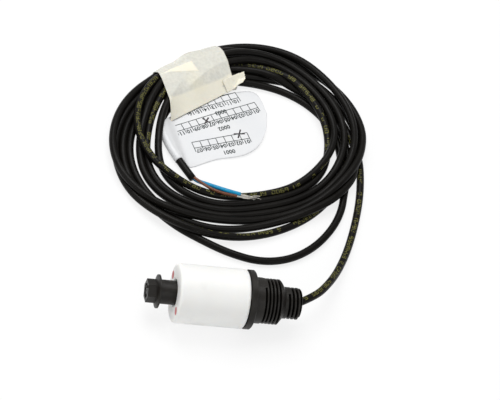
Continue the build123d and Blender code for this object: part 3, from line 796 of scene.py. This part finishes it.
def label_surface():
    """Sheet of the label: v runs from its lower to its upper edge, u from under the cable, round it and
    over the top, down to the ground and on to the far end, between the two edges."""
    across, along, round_tail, down, landing_row = 44, 60, 26, 10, 6
    fold_from, fold_to, gap = 0.1193, 0.0943, 0.0001
    edges = []
    for points in (LOWER_EDGE, UPPER_EDGE):
        edge = nurbs_line([(*point, 0) for point in points], 12)[:, :2]
        edges.append(evenly(edge.T, along).T)
    v = np.linspace(0, 1, across)
    flat = edges[0][:, None] * (1 - v)[None, :, None] + edges[1][:, None] * v[None, :, None]
    flat = np.dstack([flat, label_height(flat[..., 0], flat[..., 1])])
    # The fold follows the tail of the cable
    tail = cable_path[-ROUTE_STEPS * (len(TAIL_ROUTE) + 3):]
    start, end = np.interp((fold_from, fold_to), tail[::-1, 1], np.arange(len(tail))[::-1])
    spots = np.linspace(end, start, across)
    centre = np.column_stack([np.interp(spots, np.arange(len(tail)), tail[:, axis]) for axis in range(3)])
    towards = directions(centre)[1]
    wrap = np.radians(np.linspace(-100, -310, round_tail))
    radius = CABLE_RADIUS + gap
    fold = centre[None] + radius * (np.cos(wrap)[:, None, None] * towards[None]
                                    + np.sin(wrap)[:, None, None] * np.array((0, 0, 1)))
    slope = np.linspace(0, 1, down)[1:, None, None]
    landing = flat[landing_row]
    ease = slope * slope * (3 - 2 * slope)
    ramp = fold[-1] * (1 - slope) + landing * slope
    ramp[..., 2] = (fold[-1][..., 2] * (1 - ease[..., 0]) + landing[..., 2] * ease[..., 0])
    return np.concatenate([fold, ramp, flat[landing_row + 1:]])


# Coated white paper, a little blue, with the faintest fibre
label_paper = finished("label_paper", (0.66, 0.67, 0.685), (0.69, 0.695, 0.7), Patch_Scale=50.0,
                       Grain_Scale=2500.0, Smooth=0.4, Rough=0.55)[0]
label = add_piece("paper_flag", grid_mesh("paper_flag", label_surface()))
thicken(label, LABEL_THICKNESS, 0)
label.data.materials.append(label_paper)
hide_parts("flag_label")

# Print on the label
BOX_WIDTH, BOX_HEIGHT = 0.0046, 0.0039
TICK_BELOW, NUMBER_BELOW, HEADING_BELOW = 0.0026, 0.0018, 0.0062
HEADING_ALONG = 0.45
LINE_WIDTH, PEN_WIDTH = 0.00038, 0.0008
NUMBER_SIZE, NUMBER_BOLDNESS = 0.0035, 0.00008
INK_THICKNESS = 0.00006
INK_LIFT = LABEL_THICKNESS / 2 + 0.00005
# Rows of boxes: first corner, direction in degrees, numbers and heading
ROWS = (
    ((0.0247, 0.1186), 18.3, [f"{number:02d}" for number in range(1, 8)], "0001"),
    ((0.0304, 0.1401), 25.5, [f"{number:02d}" for number in range(1, 13)], "0002"),
    ((0.0202, 0.1459), 24.3, [f"{number}" for number in range(10, 17)], "0003"),
)
# Hand-drawn crosses: middle, size and the directions of their strokes
CROSSES = (((0.0030, 0.1239), 0.0052, 62, 148), ((0.0205, 0.1172), 0.0062, 75, 8))


def bar(start, end, width):
    """Flat bar between two points of the label: 12 quads long, as corners (x, y)."""
    start, end = np.array(start), np.array(end)
    way = (end - start) / np.linalg.norm(end - start)
    side = np.array([-way[1], way[0]]) * width / 2
    t = np.linspace(0, 1, 13)[:, None]
    middle = start * (1 - t) + end * t
    return np.stack([middle - side, middle + side], axis=1)


def laid_bars(name, bars, ink):
    """Mesh of bars that lie on the label, each a closed strip of the ink's thickness.

    Each step of a bar is a ring of four corners: both sides on top, then both below them.
    """
    strips = np.array(bars)
    height = label_height(strips[..., 0], strips[..., 1]) + INK_LIFT
    top = np.concatenate([strips, height[..., None]], axis=-1)
    rings = np.concatenate([top, top[:, :, ::-1] - (0, 0, INK_THICKNESS)], axis=2)
    corner = np.arange(rings.size // 3).reshape(rings.shape[:3])
    following = np.roll(corner, -1, axis=2)
    sides = np.stack([corner[:, :-1], following[:, :-1], following[:, 1:], corner[:, 1:]], axis=-1)
    quads = np.concatenate([sides.reshape(-1, 4), corner[:, 0, ::-1], corner[:, -1]])
    mesh = bpy.data.meshes.new(name)
    mesh.from_pydata(rings.reshape(-1, 3), [], quads.tolist())
    mesh.materials.append(ink)
    return add_piece(name, mesh)


def laid_number(text, place, angle, ink):
    """One number, flat on the label, with its centre at a point and its foot turned by an angle."""
    curve = bpy.data.curves.new(text, "FONT")
    curve.body = text
    curve.size = NUMBER_SIZE
    curve.align_x = "CENTER"
    curve.align_y = "CENTER"
    curve.extrude = INK_THICKNESS / 2
    curve.offset = NUMBER_BOLDNESS
    curve.resolution_u = 2
    holder = bpy.data.objects.new(text, curve)
    mesh = bpy.data.meshes.new_from_object(holder)
    bpy.data.objects.remove(holder)
    mesh.transform(Matrix.Translation((*place, 0)) @ Matrix.Rotation(angle, 4, "Z"))
    points = np.empty(len(mesh.vertices) * 3)
    mesh.vertices.foreach_get("co", points)
    points = points.reshape(-1, 3)
    points[:, 2] += label_height(points[:, 0], points[:, 1]) + INK_LIFT - INK_THICKNESS / 2
    mesh.vertices.foreach_set("co", points.ravel())
    mesh.materials.append(ink)
    return add_piece("number", mesh)


def label_print(ink):
    """All boxes and ticks of the label's three rows, as bars, and their numbers as pieces."""
    bars, numbers = [], []
    for corner, degrees, texts, heading in ROWS:
        way = -np.array([np.cos(np.radians(degrees)), np.sin(np.radians(degrees))])
        down = np.array([-way[1], way[0]])
        turn = np.arctan2(way[1], way[0])
        corner = np.array(corner)
        length = BOX_WIDTH * len(texts)
        for drop in (0, BOX_HEIGHT):
            bars.append(bar(corner + down * drop, corner + down * drop + way * length, LINE_WIDTH))
        for step in range(len(texts) + 1):
            top = corner + way * BOX_WIDTH * step
            bars.append(bar(top, top + down * (BOX_HEIGHT + TICK_BELOW), LINE_WIDTH))
        for step, text in enumerate(texts):
            place = corner + way * BOX_WIDTH * (step + 0.5) + down * (BOX_HEIGHT + NUMBER_BELOW)
            numbers.append(laid_number(text, place, turn, ink))
        place = corner + way * length * HEADING_ALONG + down * (BOX_HEIGHT + HEADING_BELOW)
        numbers.append(laid_number(heading, place, turn, ink))
    return bars, numbers


printed_ink = finished("printing_ink", (0.006, 0.016, 0.016), (0.012, 0.024, 0.024),
                       Grain_Depth=0.000005, Smooth=0.5, Rough=0.65)[0]
pen_ink = finished("pen_ink", (0.012, 0.005, 0.007), (0.022, 0.008, 0.011), Patch_Scale=300.0,
                   Grain_Depth=0.000005)[0]
box_bars, numbers = label_print(printed_ink)
printed_boxes = laid_bars("printed_boxes", box_bars, printed_ink)
printed_numbers = join(numbers, "printed_numbers")
cross_bars = []
for place, size, first, second in CROSSES:
    for degrees in (first, second):
        half = np.array([np.cos(np.radians(degrees)), np.sin(np.radians(degrees))]) * size / 2
        cross_bars.append(bar(np.array(place) - half, np.array(place) + half, PEN_WIDTH))
pen_crosses = laid_bars("pen_crosses", cross_bars, pen_ink)


# Sensor moulding and nut
# Black glass-filled plastic: stem, flange and both threads in one moulding, and a separate nut.
# Satin, with fine dust, and with painted shade that makes it darkest deep in the threads.
AXIS_HEIGHT = 0.015
# Each thread's outer radius, and where its grooves start and end
THREADS = ((0.01145, 0.0199, 0.0285), (0.008, 0.0327, 0.0396))


def dress(node, made):
    """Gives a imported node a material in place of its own."""
    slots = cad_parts[node].data.materials
    slots.clear()
    slots.append(made)


def moulding_finish():
    """Black moulding with painted shade deep in the grooves, where crest - hypot(y, z - AXIS_HEIGHT) is
    large: there the colour goes nearly black and the reflection fades.
    """
    made, n, shader, result = finished(
        "black_moulding", (0.0085, 0.0072, 0.0058), (0.0135, 0.0115, 0.0092), Patch_Scale=90.0,
        Grain_Scale=2200.0, Grain_Depth=0.00003, Smooth=0.34, Rough=0.52, Dust=0.1)
    place = n.add("ShaderNodeSeparateXYZ", Vector=n.add("ShaderNodeTexCoord").outputs["Object"])
    x, y, z = place.outputs
    up = n.math("SUBTRACT", z, AXIS_HEIGHT)
    radius = n.math("SQRT", n.math("ADD", n.math("MULTIPLY", y, y), n.math("MULTIPLY", up, up)))
    painted_groove_shade = 0.0
    for crest, start, end in THREADS:
        deep = n.between(radius, crest - 0.0009, crest - 0.0001, 1.0, 0.0)
        inside = n.math("MULTIPLY", n.math("GREATER_THAN", x, start), n.math("LESS_THAN", x, end))
        painted_groove_shade = n.math("MULTIPLY_ADD", deep, inside, painted_groove_shade)
    # Painted shade: deep in the grooves the colour goes nearly black and the reflection is turned down, as if
    # no light reached there.
    n.put(shader.inputs["Base Color"], n.blend(painted_groove_shade, result["Color"], (0.0006, 0.0005, 0.0004, 1)))
    n.put(shader.inputs["Specular IOR Level"], n.between(painted_groove_shade, 0.0, 1.0, 0.24, 0.02))
    return made


black_moulding = moulding_finish()
for node in ("probe_body", "retaining_nut"):
    dress(node, black_moulding)


# Float and its red plugs
# White moulded float, faintly translucent, with a soft satin skin. Two red plugs close the
# pockets of its magnets.
def float_finish():
    """White, barely translucent plastic with a trace of grey scuffs."""
    made, n, shader, result = finished(
        "white_float", (0.84, 0.84, 0.82), (0.8, 0.8, 0.785), Patch_Scale=35.0, Grain_Scale=1200.0,
        Grain_Depth=0.00002, Smooth=0.38, Rough=0.55)
    scuff = n.between(n.noise(110.0, 6.0), 0.62, 0.72, 0.0, 0.12)
    n.put(shader.inputs["Base Color"], n.blend(scuff, result["Color"], (0.6, 0.59, 0.56, 1)))
    shader.inputs["Subsurface Weight"].default_value = 0.35
    shader.inputs["Subsurface Radius"].default_value = (0.004, 0.0035, 0.003)
    return made


dress("float_body", float_finish())
red_plug = finished("red_plug", (0.4, 0.008, 0.014), (0.48, 0.014, 0.022), Grain_Scale=2500.0,
                    Smooth=0.3, Rough=0.45)[0]
for node in ("upper_marker", "lower_marker"):
    dress(node, red_plug)


# Resin and the parts inside
# Black potting resin fills the cable end and is glossy where it set. The magnets, the reed
# switch, its wires and sleeves are closed in, and have their own finishes all the same.
resin = finished("potting_resin", (0.012, 0.012, 0.012), (0.018, 0.017, 0.016), Patch_Scale=200.0,
                 Grain_Scale=500.0, Grain_Depth=0.00008, Smooth=0.08, Rough=0.18, Dust=0.1)[0]
dress("potting_resin", resin)
magnet_finish = finished("sintered_magnet", (0.1, 0.1, 0.11), (0.16, 0.16, 0.17), Patch_Scale=500.0,
                         Grain_Depth=0.00002, Rough=0.55)
magnet_finish[2].inputs["Metallic"].default_value = 0.6
glass = finished("reed_glass", (0.55, 0.75, 0.6), (0.6, 0.78, 0.65), Patch_Scale=500.0, Grain_Scale=800.0,
                 Grain_Depth=0.000005, Smooth=0.03, Rough=0.06)
glass[2].inputs["Transmission Weight"].default_value = 0.9
sleeve_finish = finished("shrink_sleeve", (0.02, 0.02, 0.02), (0.03, 0.03, 0.03),
                         Grain_Scale=1500.0, Grain_Depth=0.00002, Smooth=0.4, Rough=0.55)
INNER_FINISHES = {
    "upper_magnet": magnet_finish[0], "lower_magnet": magnet_finish[0], "reed_capsule": glass[0],
    "reed_blade_front": tinned, "reed_blade_rear": tinned,
    "brown_inner_wire": brown_core.data.materials[0], "blue_inner_wire": blue_core.data.materials[0],
    "front_joint_sleeve": sleeve_finish[0], "rear_joint_sleeve": sleeve_finish[0],
}
for node, made in INNER_FINISHES.items():
    dress(node, made)


# Floor and light
# A plain pale floor that keeps a faint shadow, a large soft lamp above and behind, and weaker
# ones at the front and the left.
def plain_floor():
    """Square floor: nearly white to the camera, with part of its own shading left in it."""
    half, white_share = 3.0, 0.8
    corners = [(-half, -half, 0), (half, -half, 0), (half, half, 0), (-half, half, 0)]
    mesh = bpy.data.meshes.new("floor")
    mesh.from_pydata(corners, [], [(0, 1, 2, 3)])
    made, n, shader = material("pale_floor")
    shader.inputs["Base Color"].default_value = (0.9, 0.9, 0.9, 1)
    shader.inputs["Roughness"].default_value = 0.9
    shader.inputs["Specular IOR Level"].default_value = 0.1
    white = n.add("ShaderNodeEmission", Color=(1, 1, 1, 1), Strength=1.0)
    path = n.add("ShaderNodeLightPath").outputs
    seen = n.math("MAXIMUM", path["Is Glossy Ray"], path["Is Transmission Ray"])
    seen = n.math("MAXIMUM", path["Is Camera Ray"], seen)
    mix = n.tree.nodes.new("ShaderNodeMixShader")
    n.put(mix.inputs[0], n.math("MULTIPLY", seen, white_share))
    n.put(mix.inputs[1], shader.outputs[0])
    n.put(mix.inputs[2], white.outputs[0])
    n.put(n.tree.nodes["Material Output"].inputs["Surface"], mix.outputs[0])
    mesh.materials.append(made)
    piece = bpy.data.objects.new("floor", mesh)
    bpy.context.collection.objects.link(piece)


LAMP_AIM = Vector((0.02, 0.08, 0))


def soft_lamp(name, place, size, power):
    """Square area lamp that points at the middle of the object."""
    lamp = bpy.data.lights.new(name, "AREA")
    lamp.size = size
    lamp.energy = power
    holder = bpy.data.objects.new(name, lamp)
    holder.location = place
    aim = LAMP_AIM - Vector(place)
    holder.rotation_euler = aim.to_track_quat("-Z", "Y").to_euler()
    bpy.context.collection.objects.link(holder)


plain_floor()
soft_lamp("lamp_above", (-0.15, 0.45, 0.9), 0.7, 7.8)
soft_lamp("lamp_front", (0.35, -0.8, 0.6), 0.8, 2.4)
soft_lamp("lamp_left", (-0.9, -0.1, 0.5), 0.6, 1.8)

# The camera sees plain white round the floor, and the object gets less than half of that light
world = bpy.data.worlds.new("studio")
world.use_nodes = True
sky = Nodes(world.node_tree)
ray = sky.add("ShaderNodeLightPath").outputs
background = world.node_tree.nodes["Background"]
background.inputs["Color"].default_value = (1, 1, 1, 1)
sky.put(background.inputs["Strength"], sky.between(ray["Is Camera Ray"], 0, 1, 0.45, 1.0))
bpy.context.scene.world = world


# Camera
# The photograph's own angle: from the front left, 50 degrees above the floor, and rolled. The
# values fit the sensor's and the coil's outlines in a frame 500 pixels wide.
AZIMUTH, ELEVATION, ROLL = np.radians((-21.93, 50.0, -22.832))
TARGET = np.array((0.02367, 0.074563, 0))
CAMERA_DISTANCE = 1.4
LENS = 193.03
level = np.array((np.cos(AZIMUTH), np.sin(AZIMUTH), 0))
ahead = np.array((-np.sin(AZIMUTH), np.cos(AZIMUTH), 0))
forward = ahead * np.cos(ELEVATION) - np.array((0, 0, np.sin(ELEVATION)))
upright = np.cross(level, forward)
right = np.cos(ROLL) * level - np.sin(ROLL) * upright
top = np.cos(ROLL) * upright + np.sin(ROLL) * level
view = bpy.data.cameras.new("photo_view")
view.lens = LENS
view.sensor_width = 36
camera = bpy.data.objects.new("photo_view", view)
pose = np.eye(4)
pose[:3, 0], pose[:3, 1], pose[:3, 2] = right, top, -forward
pose[:3, 3] = TARGET - forward * CAMERA_DISTANCE
camera.matrix_world = Matrix(pose.tolist())
bpy.context.collection.objects.link(camera)
bpy.context.scene.camera = camera
bpy.context.scene.view_settings.view_transform = "Standard"
